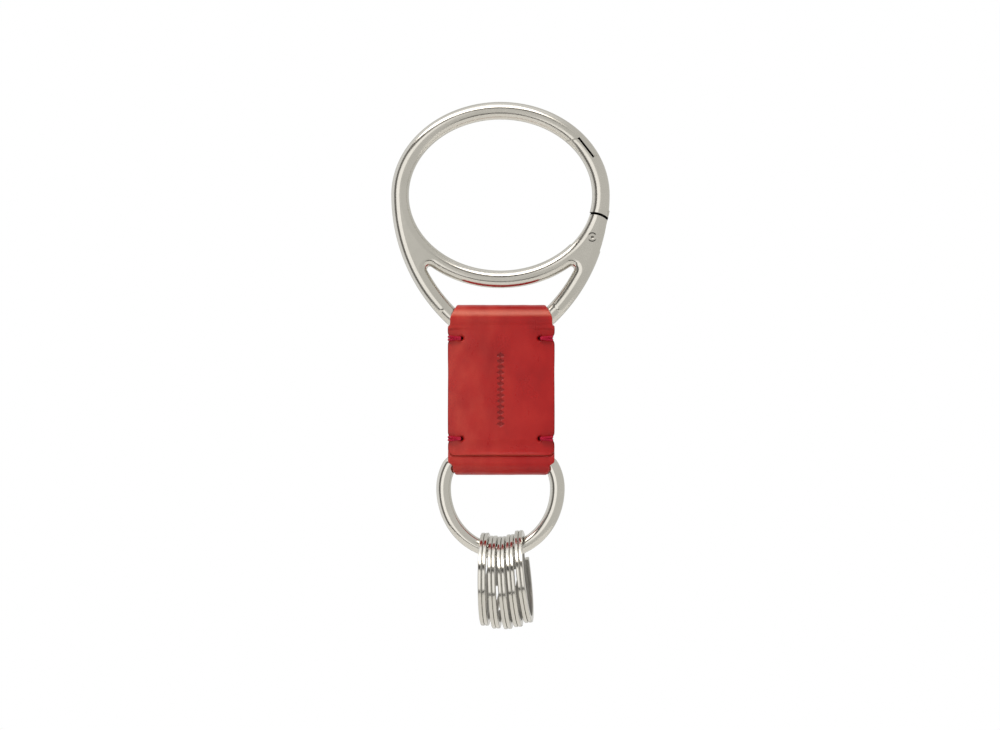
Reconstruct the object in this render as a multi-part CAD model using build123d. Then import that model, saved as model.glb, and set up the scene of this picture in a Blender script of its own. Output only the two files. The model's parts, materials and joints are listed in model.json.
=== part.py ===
from build123d import *
import math
import os

# A spring-gate carabiner ring, a folded leather strap, a D ring and five small split rings.
# Millimetres. +Z is up as the object hangs, +X is to its right, and -Y is its front.
# The origin is the hanging point: the inner top of the carabiner's ring opening.

# ---- driving dimensions: carabiner --------------------------------------------------------
opening_width = 43.8        # oval opening of the ring
opening_height = 36.1
ring_band = 4.2             # width of the ring's band, seen from the front
body_thickness = 4.4        # front to back
edge_radius = 1.98          # rounding of the front and back edges
arm_radius = 42.3           # outer curve of the two arms that run down to the strap
arm_width = 4.1
crotch_radius = 0.65        # inside corners where the arms leave the ring
arm_end_rise = 0.2          # where each arm narrows to the round wire, above the bar's axis
arm_end_rounding = 2.04
stub_overlap_angle = 3.0    # how far the round wire runs up inside the arm, degrees
bar_below_ring = 7.65       # axis of the strap bar below the ring's outer edge
bar_radius = 2.05
bar_bend = 3.0              # bend from the bar into an arm, on the wire's centre line

# ---- driving dimensions: gate ---------------------------------------------------------------
pin_inset = 3.0             # pin axis in from the arm's outer edge
pin_drop = 28.15            # pin axis below the origin
pin_radius = 1.15
pin_running_gap = 0.05      # between the pin and the gate's eye
pin_dimple_radius = 0.45
pin_dimple_depth = 0.35
pin_groove_width = 0.16     # ring groove round the pin's peened head
pin_groove_depth = 0.2
shoulder_radius = 5.5       # rounded end of the body, about the pin
shoulder_gap = 0.4
slot_width = 2.2            # slot between the two cheeks that hold the tongue
slot_floor = 2.85           # from the pin axis down to the bottom of the slot
tongue_side_gap = 0.1
eye_radius = 2.6
neck_inner_reach = 1.7      # the tongue's two sides, from the pin's axis
neck_outer_reach = 2.6
neck_overlap = 1.2          # how far the tongue runs into the gate
gate_open_angle = 30.0
heel_radius = 3.3           # corner of the tongue that meets the slot's floor when open
heel_clearance = 0.1
lap_start_angle = 40.0      # ends of the nose's half lap, on the ring's ellipse
lap_end_angle = 26.4
lap_depth = 2.55            # thickness of the gate's tip, from the inner edge
nose_gap = 0.28
key_width = 1.2             # rib in the middle of the nose that the gate closes over
key_reach = 0.45            # how far it stands into the gate
key_gap = 0.1               # round the rib, on all sides

# ---- driving dimensions: gate spring --------------------------------------------------------
spring_wire_radius = 0.15
spring_inner_gap = 0.1      # between the coil and the pin
spring_turns = 2.5
spring_pitch = 0.34
spring_pocket_gap = 0.2     # between the coil and the pocket's wall
spring_pocket_depth = 1.3
spring_leg_gap = 0.1        # between a leg's tip and what it presses on
spring_leg_up = 3.4         # length of the leg that lies along the tongue's neck

# ---- driving dimensions: strap --------------------------------------------------------------
strap_width = 25.0
bars_apart = 33.65          # from the strap bar's axis down to the D ring's bar axis
leather = 1.5               # thickness
fold_gap = 0.1              # between the leather and the bar inside a fold
layer_gap = 0.05            # between the layers where they are tacked together
front_inset = 0.15          # how far the front layer steps in below the top fold
step_bend = 4.0             # bend radius of each step in a layer
tab_bend = 3.0              # bend with which the tab leaves the D ring's bar
tab_end_gap = 1.2           # between the tab's end and the carabiner's bar
flap_end_rise = 1.7         # lower edge of the front layer above the D ring's bar axis
flap_bend = 7.0             # bend with which its lower edge kicks out
flap_gap = 0.12             # between the flap and the fold that it rides on
flap_corner = 1.6           # rounding of the two corners of that edge
top_corner_in = 2.0         # the fold's top corners are cut off, across and down
top_corner_down = 4.0
low_corner_in = 2.0
low_corner_down = 2.8
swing_gap = 0.2             # between the leather's edges and the wires that turn past them
swing_reach = 4.8           # how far from a bar the leather's edges are kept clear

# ---- driving dimensions: tacks --------------------------------------------------------------
upper_tack_below = 4.35     # below the strap bar's axis
lower_tack_above = 5.4      # above the D ring's bar axis
tack_inset = 2.8            # hole centre in from the strap's side edge
tack_hole_radius = 0.7
thread_radius = 0.33
thread_pitch = 0.7          # between the two strands of a tack
thread_gap = 0.04           # between the thread and the leather
notch_depth = 0.6           # dent in the strap's side edge under the thread
thread_corner = 0.45

# ---- driving dimensions: D ring -------------------------------------------------------------
d_wire_radius = 1.75
d_side_reach = 1.1          # the D's widest centre line, out from the strap's edges
d_shoulder_depth = 6.5      # from its bar's axis down to where it is widest
d_depth = 15.0              # from there to the lowest point, centre line
d_side_radius = 11.0        # curve of the sides between the shoulder and the bar
d_corner_radius = 2.5

# ---- driving dimensions: split rings --------------------------------------------------------
split_outer_radius = 11.1
split_wire_radial = 1.6
split_wire_axial = 0.9
split_turn_gap = 0.05
split_wire_edge = 0.28      # rounding of the wire's edges
split_jog_angle = 34.0      # arc over which the wire steps from one turn to the other
split_jog_sections = 7      # sections that the step is lofted through
split_end_gap_angle = 3.0
split_count = 5
split_pitch = 2.12          # along the D ring
split_middle_x = 0.6
split_yaw = 4.6             # the whole bunch is turned a little about Z
split_leans = [0.0, 1.9, 4.0, 5.0, 6.2]         # each ring's own lean, degrees
split_jog_places = [100.0, 62.0, 118.0, 84.0, 132.0]   # where each wire's ends are
split_rest_gap = 0.08       # between a ring and the D ring's wire it hangs on

# ---- worked out from those ------------------------------------------------------------------
inner_rx = opening_width / 2
inner_rz = opening_height / 2
outer_rx = inner_rx + ring_band
outer_rz = inner_rz + ring_band
ring_z = -inner_rz                              # centre of the oval
arm_centre_x = arm_radius - outer_rx            # the arcs' centres lie across the middle
arm_inner_radius = arm_radius - arm_width
arm_mid_radius = arm_radius - arm_width / 2
bar_drop = opening_height + ring_band + bar_below_ring
bar_z = -bar_drop
arm_end_angle = math.degrees(math.asin((ring_z - bar_z - arm_end_rise) / arm_radius))
half_body = body_thickness / 2
far = 3 * arm_radius                            # longer than anything here
same = 1e-4                                     # lengths closer than this are equal

pin_z = -pin_drop
pin_x = math.sqrt(arm_radius**2 - (pin_z - ring_z) ** 2) - arm_centre_x - pin_inset
pin_tilt = 90 - math.degrees(math.asin((ring_z - pin_z) / arm_radius))
tongue_half = slot_width / 2 - tongue_side_gap
spring_mid_radius = pin_radius + spring_inner_gap + spring_wire_radius
spring_outer_radius = spring_mid_radius + spring_wire_radius
pocket_radius = spring_outer_radius + spring_pocket_gap
pocket_floor_y = -tongue_half + spring_pocket_depth

half_strap = strap_width / 2
d_bar_drop = bar_drop + bars_apart
flap_end_drop = d_bar_drop - flap_end_rise
upper_tack_drop = bar_drop + upper_tack_below
lower_tack_drop = d_bar_drop - lower_tack_above
d_half_width = half_strap + d_side_reach        # centre line
d_shoulder_drop = d_bar_drop + d_shoulder_depth
half_leather = leather / 2
top_bend = bar_radius + fold_gap + half_leather
low_bend = d_wire_radius + fold_gap + half_leather
front_y = -top_bend + front_inset               # middle of each layer where they lie flat
tab_y = front_y + leather + layer_gap
back_y = tab_y + leather + layer_gap
flap_reach = flap_bend + leather + low_bend + flap_gap      # between the centres of the two bends
flap_rise = math.sqrt(flap_reach**2 - (flap_bend - front_y) ** 2)
d_bar_z = -d_bar_drop
thread_width = 2 * thread_radius

split_inner_radius = split_outer_radius - split_wire_radial
split_mid_radius = split_outer_radius - split_wire_radial / 2
split_turn_offset = (split_wire_axial + split_turn_gap) / 2
split_half_thickness = split_turn_offset + split_wire_axial / 2


def front_sketch(shape, x, z):
    """A flat shape in the front view, moved to x, z."""
    return Plane.XZ * Pos(x, z) * shape


def through(sketch, half_depth):
    """A front-view sketch given a depth, the same in front of the middle and behind it."""
    return extrude(sketch, amount=half_depth, both=True)


def half_plane(x, z, direction):
    """The front-view region on the left of a line through x, z that runs along direction."""
    square = Plane.XZ * Pos(x, z) * Rot(0, 0, direction) * Pos(0, far / 2) * Rectangle(far, far)
    return square


def mirrored(shape):
    return mirror(shape, about=Plane.YZ)


# ---- carabiner --------------------------------------------------------------------------------
def ring_and_arms():
    """The ring with its two arms, before the gate is cut out of it."""
    start = -math.radians(arm_end_angle)
    reach = arm_inner_radius * math.cos(start) - arm_centre_x
    depth = ring_z + arm_inner_radius * math.sin(start)
    top = EllipticalCenterArc((0, ring_z), outer_rx, outer_rz, start_angle=0, arc_size=180)
    right = CenterArc((-arm_centre_x, ring_z), arm_radius, -arm_end_angle, arm_end_angle)
    left = CenterArc((arm_centre_x, ring_z), arm_radius, 180, arm_end_angle)
    right_cap = Line((reach, depth), right @ 0)
    left_cap = Line(left @ 1, (-reach, depth))
    closing = Line((-reach, depth), (reach, depth))
    outline = make_face([top, left, left_cap, closing, right_cap, right])
    window = Pos(arm_centre_x, ring_z) * Circle(arm_inner_radius)
    window &= Pos(-arm_centre_x, ring_z) * Circle(arm_inner_radius)
    window &= Pos(0, ring_z - far / 2) * Rectangle(far, far)
    window -= Pos(0, ring_z) * Ellipse(outer_rx, outer_rz)
    crotches = window.vertices().sort_by(Axis.Y)[-2:]
    window = fillet(crotches, crotch_radius)
    outline = outline - window - Pos(0, ring_z) * Ellipse(inner_rx, inner_rz)
    caps = outline.vertices().sort_by(Axis.Y)[:4]
    outline = fillet(caps, arm_end_rounding)
    plate = through(Plane.XZ * outline, half_body)
    rims = [e for e in plate.edges() if abs(abs(e.center().Y) - half_body) < same]
    return fillet(rims, edge_radius)


def strap_bar():
    """The round wire that joins the two arms inside the strap's top fold."""
    bend_z = bar_z + bar_bend
    bend_reach = arm_mid_radius - bar_bend
    bend_x = math.sqrt(bend_reach**2 - (bend_z - ring_z) ** 2) - arm_centre_x
    join = math.degrees(math.atan2(bend_z - ring_z, bend_x + arm_centre_x))
    straight = Line((0, bar_z), (bend_x, bar_z))
    bend = CenterArc((bend_x, bend_z), bar_bend, -90, 90 + join)
    stub_end = -arm_end_angle + stub_overlap_angle
    arm = CenterArc((-arm_centre_x, ring_z), arm_mid_radius, join, stub_end - join)
    path = Plane.XZ * Wire([straight, bend, arm])
    half = sweep(Plane.YZ * Pos(0, bar_z) * Circle(bar_radius), path=path)
    return half + mirrored(half)


def lap_point(angle):
    """A point of the half lap's line, at an angle on the ring's ellipse."""
    turn = math.radians(angle)
    return Vector((inner_rx + lap_depth) * math.cos(turn),
                  ring_z + (inner_rz + lap_depth) * math.sin(turn))


def gate_zone(grow, inner_radius):
    """The front-view region that the gate fills, grown past its nose, outside a circle about the pin."""
    tip, heel = lap_point(lap_start_angle), lap_point(lap_end_angle)
    pin = Vector(pin_x, pin_z)
    along = heel - tip
    direction = math.degrees(math.atan2(along.Y, along.X))
    outward = Vector(-along.Y, along.X).normalized() * grow
    inner_side = half_plane(tip.X + outward.X, tip.Y + outward.Y, direction + 180)
    zone = front_sketch(Circle((tip - pin).length + grow), pin_x, pin_z) & inner_side
    zone += front_sketch(Circle((heel - pin).length + grow), pin_x, pin_z)
    zone &= half_plane(pin_x, pin_z, 0) & half_plane(inner_rx / 2, pin_z, -90)
    return zone - front_sketch(Circle(inner_radius), pin_x, pin_z)


def along_tongue(shape):
    """A front-view shape whose own +Y runs from the pin up into the gate."""
    return Plane.XZ * Pos(pin_x, pin_z) * Rot(0, 0, pin_tilt - 90) * shape


def pin_rod(radius, half_length):
    return through(front_sketch(Circle(radius), pin_x, pin_z), half_length)


def slot():
    """What is cut from the body between its two cheeks."""
    above_floor = Pos(0, far / 2 - slot_floor) * Rectangle(far, far)
    room = along_tongue(Circle(shoulder_radius + shoulder_gap) & above_floor)
    return through(room, slot_width / 2)


def middle_slab(width):
    return Box(far, width, far)


def nose_key(blank):
    """A rib along the nose that keeps the closed gate from shifting to the front or the back."""
    solid = blank & middle_slab(key_width) & through(gate_zone(nose_gap, shoulder_radius), half_body)
    return solid - through(gate_zone(-key_reach, pin_radius), body_thickness)


def key_groove():
    """What the gate leaves free for that rib."""
    inside = through(gate_zone(-key_reach - key_gap, pin_radius), body_thickness)
    return middle_slab(key_width + 2 * key_gap) - inside


def carabiner_frame(blank):
    body = blank - through(gate_zone(nose_gap, shoulder_radius), body_thickness)
    body += nose_key(blank)
    body += strap_bar()
    body -= slot()
    return body - pin_rod(pin_radius, body_thickness)


def spring_pocket():
    """The round pocket and the two grooves that the spring lies in, in the tongue's front."""
    groove = 2 * (spring_wire_radius + spring_pocket_gap)
    cut = front_sketch(Circle(pocket_radius), pin_x, pin_z)
    upper_groove = Rectangle(groove, spring_leg_up + groove)
    lower_groove = Rectangle(groove, heel_radius)
    cut += along_tongue(Pos(-spring_mid_radius, spring_leg_up / 2) * upper_groove)
    cut += along_tongue(Pos(spring_mid_radius, -heel_radius / 2) * lower_groove)
    depth = pocket_floor_y + half_body
    return extrude(Pos(0, -half_body, 0) * cut, amount=-depth)


def gate(blank):
    first_radius = shoulder_radius + shoulder_gap
    arm = blank & through(gate_zone(0, first_radius), body_thickness)
    arm -= key_groove()
    neck_length = first_radius + neck_overlap
    neck_width = neck_inner_reach + neck_outer_reach
    neck_x = (neck_outer_reach - neck_inner_reach) / 2
    tongue = Circle(eye_radius) + Pos(neck_x, neck_length / 2) * Rectangle(neck_width, neck_length)
    # the heel is a corner whose flat lies along the slot's floor when the gate is open
    flat = slot_floor - heel_clearance
    heel_turn = -90 - gate_open_angle
    corner = heel_turn - math.degrees(math.acos(flat / heel_radius))
    heel = Polygon(
        (0, 0),
        (flat * math.cos(math.radians(heel_turn)), flat * math.sin(math.radians(heel_turn))),
        (heel_radius * math.cos(math.radians(corner)), heel_radius * math.sin(math.radians(corner))),
        (-neck_inner_reach, neck_length / 2),
        align=None,
    )
    tongue = through(along_tongue(tongue + heel), tongue_half)
    whole = arm + tongue
    whole -= pin_rod(pin_radius + pin_running_gap, body_thickness)
    return whole - spring_pocket()


def gate_pin():
    """A solid pin, peened flush at both ends, with a dimple and a groove round each head."""
    pin = pin_rod(pin_radius, half_body)
    outer = pin_radius - pin_groove_width
    groove = Circle(outer) - Circle(outer - pin_groove_width)
    for side in (-1, 1):
        face = Plane(origin=(pin_x, side * half_body, pin_z), z_dir=(0, -side, 0))
        pin -= extrude(face * groove, amount=pin_groove_depth)
        cone = Cone(pin_dimple_radius, 0, pin_dimple_depth, align=(Align.CENTER, Align.CENTER, Align.MIN))
        pin -= face * cone
    return pin


def gate_spring():
    """A torsion spring round the pin: one leg on the slot's floor, one along the tongue."""
    height = spring_turns * spring_pitch
    first_y = -tongue_half + spring_wire_radius + spring_leg_gap
    base = Plane(origin=(pin_x, first_y, pin_z), x_dir=along_x(), z_dir=(0, 1, 0))
    coil = base * Helix(spring_pitch, height, spring_mid_radius)
    section = Plane(origin=coil @ 0, z_dir=coil % 0) * Circle(spring_wire_radius)
    wire = sweep(section, path=coil, is_frenet=True)
    down = -along_z()
    up = along_z()
    low_length = slot_floor - spring_leg_gap
    for point, way, length in ((coil @ 0, down, low_length), (coil @ 1, up, spring_leg_up)):
        wire += Plane(origin=point, z_dir=way) * Cylinder(
            spring_wire_radius, length, align=(Align.CENTER, Align.CENTER, Align.MIN)
        )
        wire += Pos(*point) * Sphere(spring_wire_radius)
    return wire


def along_z():
    """The direction from the pin up into the gate."""
    return Vector(math.cos(math.radians(pin_tilt)), 0, math.sin(math.radians(pin_tilt)))


def along_x():
    """Square to it, towards the outside of the ring."""
    return Vector(math.sin(math.radians(pin_tilt)), 0, -math.cos(math.radians(pin_tilt)))


# ---- leather strap ----------------------------------------------------------------------------
def strip_edges(start, heading, moves):
    """The two faces and the end of a strip of leather, seen from the side.

    Each move is (length,) for a straight or (radius, turn) for a bend on the strip's middle,
    where a positive turn is to the left.
    """
    y, z = start
    heading = math.radians(heading)
    edges = []

    def beside(y, z, heading, offset):
        return (y - offset * math.sin(heading), z + offset * math.cos(heading))

    for move in moves:
        if len(move) == 1:
            after = (y + move[0] * math.cos(heading), z + move[0] * math.sin(heading), heading)
            for offset in (-half_leather, half_leather):
                edges.append(Line(beside(y, z, heading, offset), beside(*after, offset)))
        else:
            radius, turn = move[0], math.radians(move[1])
            side = math.copysign(1, turn)
            centre = beside(y, z, heading, side * radius)
            halfway, after = [
                (*beside(*centre, heading + part, -side * radius), heading + part)
                for part in (turn / 2, turn)
            ]
            for offset in (-half_leather, half_leather):
                edges.append(ThreePointArc(
                    beside(y, z, heading, offset), beside(*halfway, offset), beside(*after, offset)))
        y, z, heading = after
    edges.append(Line(beside(y, z, heading, -half_leather), beside(y, z, heading, half_leather)))
    return edges


def step_angle(shift):
    """The turn of the two opposite bends that shift a layer sideways."""
    return math.degrees(math.acos(1 - abs(shift) / (2 * step_bend)))


def step_length(shift):
    return 2 * step_bend * math.sin(math.radians(step_angle(shift)))


def strip_face(heading, moves):
    """One half of the strip, from the top of the fold over the carabiner's bar to its end."""
    top = bar_z + top_bend
    start = Line((0, top - half_leather), (0, top + half_leather))
    return make_face(strip_edges((0, top), heading, moves) + [start])


def front_half():
    """Side view of the half that comes down the front and kicks out over the D ring's fold."""
    front_turn = step_angle(front_inset)
    flap_angle = math.degrees(math.asin((flap_end_drop - d_bar_drop + flap_rise) / flap_bend))
    front_run = d_bar_drop - flap_rise - bar_drop - step_length(front_inset)
    return strip_face(180, [
        (top_bend, 90), (step_bend, front_turn), (step_bend, -front_turn),
        (front_run,), (flap_bend, -flap_angle),
    ])


def back_half():
    """Side view of the half that goes down the back, round the D ring's bar, and up between."""
    upper_shift, lower_shift = top_bend - back_y, low_bend - back_y
    upper, lower = step_angle(upper_shift), step_angle(lower_shift)
    back_run = d_bar_drop - bar_drop - step_length(upper_shift) - step_length(lower_shift)
    wrap = math.degrees(math.acos((tab_bend - tab_y) / (tab_bend + low_bend)))
    tab_start = (tab_bend + low_bend) * math.sin(math.radians(wrap))
    tab_run = d_bar_drop - tab_start - bar_drop - bar_radius - tab_end_gap
    return strip_face(0, [
        (top_bend, -90), (step_bend, -upper), (step_bend, upper), (back_run,),
        (step_bend, lower), (step_bend, -lower), (low_bend, -90), (low_bend, -90),
        (low_bend, -wrap), (tab_bend, wrap), (tab_run,),
    ])


def corner_cut(z, across, down):
    """A triangle off the strap's right corner at height z; down is negative at a lower corner."""
    triangle = Polygon(
        (half_strap - across, z), (half_strap + across, z - 2 * down),
        (half_strap + across, z + down), (half_strap - across, z + down), align=None,
    )
    return through(Plane.XZ * triangle, far / 2)


def bar_sweep(axis_z, outline):
    """The space that a wire takes as it turns about a bar's axis; outline is (x, distance from the axis)."""
    return revolve(Plane.XZ * Pos(0, axis_z) * outline, axis=Axis((0, 0, axis_z), (1, 0, 0)))


def arm_clearance():
    """Room for the carabiner's arms to turn past the top fold."""
    slope = math.asin((ring_z - bar_z) / arm_mid_radius)
    corner_x = arm_mid_radius * math.cos(slope) - arm_centre_x
    inside_x = corner_x - bar_radius * math.tan((math.pi / 2 - slope) / 2) - swing_gap
    rise = swing_reach - bar_radius
    outline = Polygon(
        (inside_x, 0), (2 * half_strap, 0), (2 * half_strap, swing_reach),
        (inside_x + rise * math.tan(slope), swing_reach), (inside_x, bar_radius), align=None,
    )
    return bar_sweep(bar_z, outline)


def d_side_centre_x():
    return d_half_width - d_side_radius


def d_clearance():
    """Room for the D ring's corners and sides to turn past the lower fold."""
    drop = d_shoulder_drop - d_bar_drop
    under_bar = d_wire_radius + fold_gap / 2
    inside = Pos(d_side_centre_x(), drop) * Circle(d_side_radius - d_wire_radius - swing_gap)
    inside &= Pos(0, under_bar + far / 2) * Rectangle(2 * far, far)
    corner = inside.vertices().sort_by(Axis.X)[-1:]
    inside = fillet(corner, d_corner_radius - d_wire_radius - swing_gap)
    inside += Pos(0, swing_reach / 2) * Rectangle(2 * d_side_radius - 2 * d_corner_radius, swing_reach)
    outline = Pos(half_strap, swing_reach / 2) * Rectangle(2 * half_strap, swing_reach)
    return bar_sweep(d_bar_z, outline - inside)


def flap_corner_cut():
    """Rounds the lower right corner of the front half."""
    corner = Pos(half_strap, -flap_end_drop) * Rectangle(2 * flap_corner, 2 * flap_corner)
    corner -= Pos(half_strap - flap_corner, flap_corner - flap_end_drop) * Circle(flap_corner)
    return through(Plane.XZ * corner, far / 2)


def leather_strap():
    front, back = [extrude(Plane.YZ * face, amount=half_strap, both=True)
                   for face in (front_half(), back_half())]
    flap_cut = flap_corner_cut()
    strap = front - flap_cut - mirrored(flap_cut) + back
    cuts = [
        corner_cut(bar_z + top_bend + half_leather, top_corner_in, top_corner_down),
        corner_cut(d_bar_z - low_bend - half_leather, low_corner_in, -low_corner_down),
        arm_clearance(),
        d_clearance(),
    ]
    for drop in (upper_tack_drop, lower_tack_drop):
        hole = front_sketch(Circle(tack_hole_radius), half_strap - tack_inset, -drop)
        notch_height = thread_pitch + 2 * thread_width
        notch = front_sketch(Rectangle(2 * notch_depth, notch_height), half_strap, -drop)
        cuts.append(through(hole + notch, far / 2))
    for cut in cuts:
        strap -= cut
        strap -= mirrored(cut)
    return strap


def front_face(drop):
    """The strap's front face at a tack row, which may lie just inside the flap's bend."""
    into_bend = max(drop + thread_pitch / 2 + thread_radius - (d_bar_drop - flap_rise), 0)
    return front_y - flap_bend + math.sqrt((flap_bend - half_leather) ** 2 - into_bend**2)


def back_face(drop):
    """The strap's back face at a tack row, which may lie just inside the step of the back layer."""
    upper_step_end = bar_drop + step_length(top_bend - back_y)
    lower_step_start = d_bar_drop - step_length(low_bend - back_y)
    half_tack = thread_pitch / 2 + thread_radius
    into_step = max(upper_step_end - drop + half_tack, drop + half_tack - lower_step_start, 0)
    return back_y + step_bend - math.sqrt((step_bend - half_leather) ** 2 - into_step**2)


def tack(side, drop):
    """Two strands of thread through a hole and round the strap's edge."""
    hole_x = half_strap - tack_inset
    edge_x = half_strap - notch_depth + thread_radius + thread_gap
    front = front_face(drop) - thread_radius - thread_gap
    back = back_face(drop) + thread_radius + thread_gap
    loop = RectangleRounded(edge_x - hole_x, back - front, thread_corner)
    strands = []
    for shift in (-thread_pitch / 2, thread_pitch / 2):
        place = Pos(side * (edge_x + hole_x) / 2, (front + back) / 2, shift - drop)
        path = place * loop.face().outer_wire()
        start = Plane(origin=path @ 0, z_dir=path % 0)
        strands.append(sweep(start * Circle(thread_radius), path=path))
    return Compound(children=strands)


# ---- D ring -----------------------------------------------------------------------------------
def d_ring():
    centre_x, centre_z = d_side_centre_x(), -d_shoulder_drop
    corner_z = d_bar_z - d_corner_radius
    reach = d_side_radius - d_corner_radius
    corner_x = centre_x + math.sqrt(reach**2 - (corner_z - centre_z) ** 2)
    join = math.degrees(math.atan2(corner_z - centre_z, corner_x - centre_x))
    bar = Line((0, d_bar_z), (corner_x, d_bar_z))
    corner = CenterArc((corner_x, corner_z), d_corner_radius, 90, join - 90)
    side = CenterArc((centre_x, centre_z), d_side_radius, join, -join)
    bow = EllipticalCenterArc(
        (0, centre_z), d_half_width, d_depth, start_angle=-90, arc_size=90
    )
    path = Plane.XZ * Wire([bar, corner, side, bow])
    section = Plane.YZ * Pos(0, d_bar_z) * Circle(d_wire_radius)
    half = sweep(section, path=path)
    return half + mirrored(half)


# ---- split rings --------------------------------------------------------------------------------
def split_wire_section(angle, offset):
    """The wire's section at an angle round the ring, and its offset along the ring's axis."""
    plane = Plane(origin=(0, 0, 0), x_dir=(1, 0, 0), z_dir=(0, -1, 0))
    flat = RectangleRounded(split_wire_radial, split_wire_axial, split_wire_edge)
    return Rot(0, 0, angle) * (plane * Pos(split_mid_radius, offset) * flat)


def split_ring():
    """Two turns of wire about Z, joined by a jog centred on +X, where the two ends face it."""
    half_jog = split_jog_angle / 2
    end_angle = half_jog + split_end_gap_angle
    low = revolve(
        split_wire_section(end_angle, -split_turn_offset), axis=Axis.Z,
        revolution_arc=360 - half_jog - end_angle,
    )
    high = revolve(
        split_wire_section(half_jog, split_turn_offset), axis=Axis.Z,
        revolution_arc=360 - half_jog - end_angle,
    )
    sections = []
    for step in range(split_jog_sections):
        share = step / (split_jog_sections - 1)
        ease = share * share * (3 - 2 * share)
        offset = split_turn_offset * (2 * ease - 1)
        sections.append(split_wire_section(-half_jog + split_jog_angle * share, offset))
    return low + loft(sections) + high


def d_height(x):
    """The D ring's centre line at x, on its lower bow."""
    return -d_shoulder_drop - d_depth * math.sqrt(1 - (x / d_half_width) ** 2)


def split_place(index):
    """Where ring number index hangs: its pivot on the D ring's wire, and its location."""
    x = split_middle_x + (index - (split_count - 1) / 2) * split_pitch
    rise = d_depth * abs(x) / (d_half_width**2 * math.sqrt(1 - (x / d_half_width) ** 2))
    hang = split_inner_radius - split_rest_gap - split_half_thickness * rise
    hang -= d_wire_radius * math.sqrt(1 + rise**2)
    pivot = Vector(x, 0, d_height(x))
    turned = Rot(0, 0, -split_yaw) * Rot(0, -split_leans[index], 0)
    # local Z of the ring becomes the hinge's direction, nearly +X; local X points down
    upright = Rot(0, 90, 0)
    return Pos(*pivot) * turned * Pos(0, 0, -hang) * upright


def build():
    blank = ring_and_arms()
    nodes = {
        "carabiner_frame": carabiner_frame(blank),
        "gate": gate(blank),
        "gate_pin": gate_pin(),
        "gate_spring": gate_spring(),
        "leather_strap": leather_strap(),
        "tack_upper_left": tack(-1, upper_tack_drop),
        "tack_upper_right": tack(1, upper_tack_drop),
        "tack_lower_left": tack(-1, lower_tack_drop),
        "tack_lower_right": tack(1, lower_tack_drop),
        "d_ring": d_ring(),
    }
    ring = split_ring()
    for index in range(split_count):
        turned = Rot(0, 0, split_jog_places[index]) * ring
        nodes[f"split_ring_{index + 1}"] = split_place(index) * turned
    return nodes


if __name__ == "__main__":
    os.makedirs("parts", exist_ok=True)
    for name, shape in build().items():
        export_step(shape, f"parts/{name}.step")
        print(name, round(shape.volume, 2))
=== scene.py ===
import json
import math

import bpy
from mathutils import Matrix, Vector, noise


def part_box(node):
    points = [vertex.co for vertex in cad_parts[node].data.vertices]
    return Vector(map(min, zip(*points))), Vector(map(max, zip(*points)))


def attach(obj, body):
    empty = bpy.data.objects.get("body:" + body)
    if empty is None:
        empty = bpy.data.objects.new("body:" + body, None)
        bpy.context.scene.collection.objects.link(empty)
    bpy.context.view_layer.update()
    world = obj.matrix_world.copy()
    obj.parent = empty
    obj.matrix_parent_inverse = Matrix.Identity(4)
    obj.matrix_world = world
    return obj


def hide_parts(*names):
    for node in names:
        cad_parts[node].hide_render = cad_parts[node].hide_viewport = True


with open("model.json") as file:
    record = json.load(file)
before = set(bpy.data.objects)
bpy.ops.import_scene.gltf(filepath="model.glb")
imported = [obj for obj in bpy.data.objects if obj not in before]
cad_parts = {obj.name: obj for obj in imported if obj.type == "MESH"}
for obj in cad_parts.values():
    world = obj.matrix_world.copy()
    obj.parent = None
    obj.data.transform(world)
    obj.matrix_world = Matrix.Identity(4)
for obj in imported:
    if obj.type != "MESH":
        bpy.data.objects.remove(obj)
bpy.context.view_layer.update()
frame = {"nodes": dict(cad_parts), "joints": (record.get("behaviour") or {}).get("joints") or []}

# Looks for a key ring with a carabiner, a folded leather strap, a D ring and five split rings.
# Metres throughout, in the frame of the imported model: +Z up, +X right, -Y front.
MM = 0.001
UP = Vector((0, 0, 1))
TINY = 1e-9

# ---- camera -------------------------------------------------------------------------------------
LENS = 150.0
SENSOR = 36.0
CLIP_START = 0.01
PICTURE_WIDTH = 239 * MM            # width of the picture at the object
AIM = Vector((-0.12 * MM, 0, -58.67 * MM))

# ---- stage --------------------------------------------------------------------------------------
FLOOR_Z = -0.5
FLOOR_RADIUS = 0.65
FLOOR_SIDES = 96
FLOOR_GRAIN_SIZE = 0.02
FLOOR_COLOURS = ((0.80, 0.80, 0.79), (0.84, 0.84, 0.83))
FLOOR_ROUGHNESS = 0.8

# Soft boxes and the dark gaps between them, as seen from the object. Each is (lowest and highest
# azimuth), (lowest and highest elevation), softness, brightness and warmth, with the angles in
# degrees. Azimuth 0 is the camera's side, and positive is to the right.
STUDIO = [
    ((-200, 200), (-95, -33), 3, 0.86, 0.94),     # table below
    ((-200, 200), (60, 100), 10, 0.95, 1.0),      # ceiling
    ((-75, 25), (64, 90), 12, 1.5, 0.97),         # glow of the large soft box on the ceiling
    ((-75, 25), (41, 64), 5, 4.6, 0.90),          # large soft box above the camera
    ((-80, 16), (23, 41), 3, 0.10, 0.9),          # gap under it
    ((-80, 14), (-35, -22), 3, 0.12, 0.9),        # gap above the table
    ((-80, -48), (-36, 41), 4, 0.18, 0.9),        # dark flag on the left
    ((-46, -6), (-24, 26), 3, 1.35, 0.96),        # soft box left of the camera
    ((-140, -82), (-60, 60), 6, 0.95, 1.0),       # white wall far on the left
]
STUDIO_LEVEL = 0.72                 # brightness and tint of everything else in the studio
STUDIO_TINT = (1.0, 0.985, 0.95)

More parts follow.
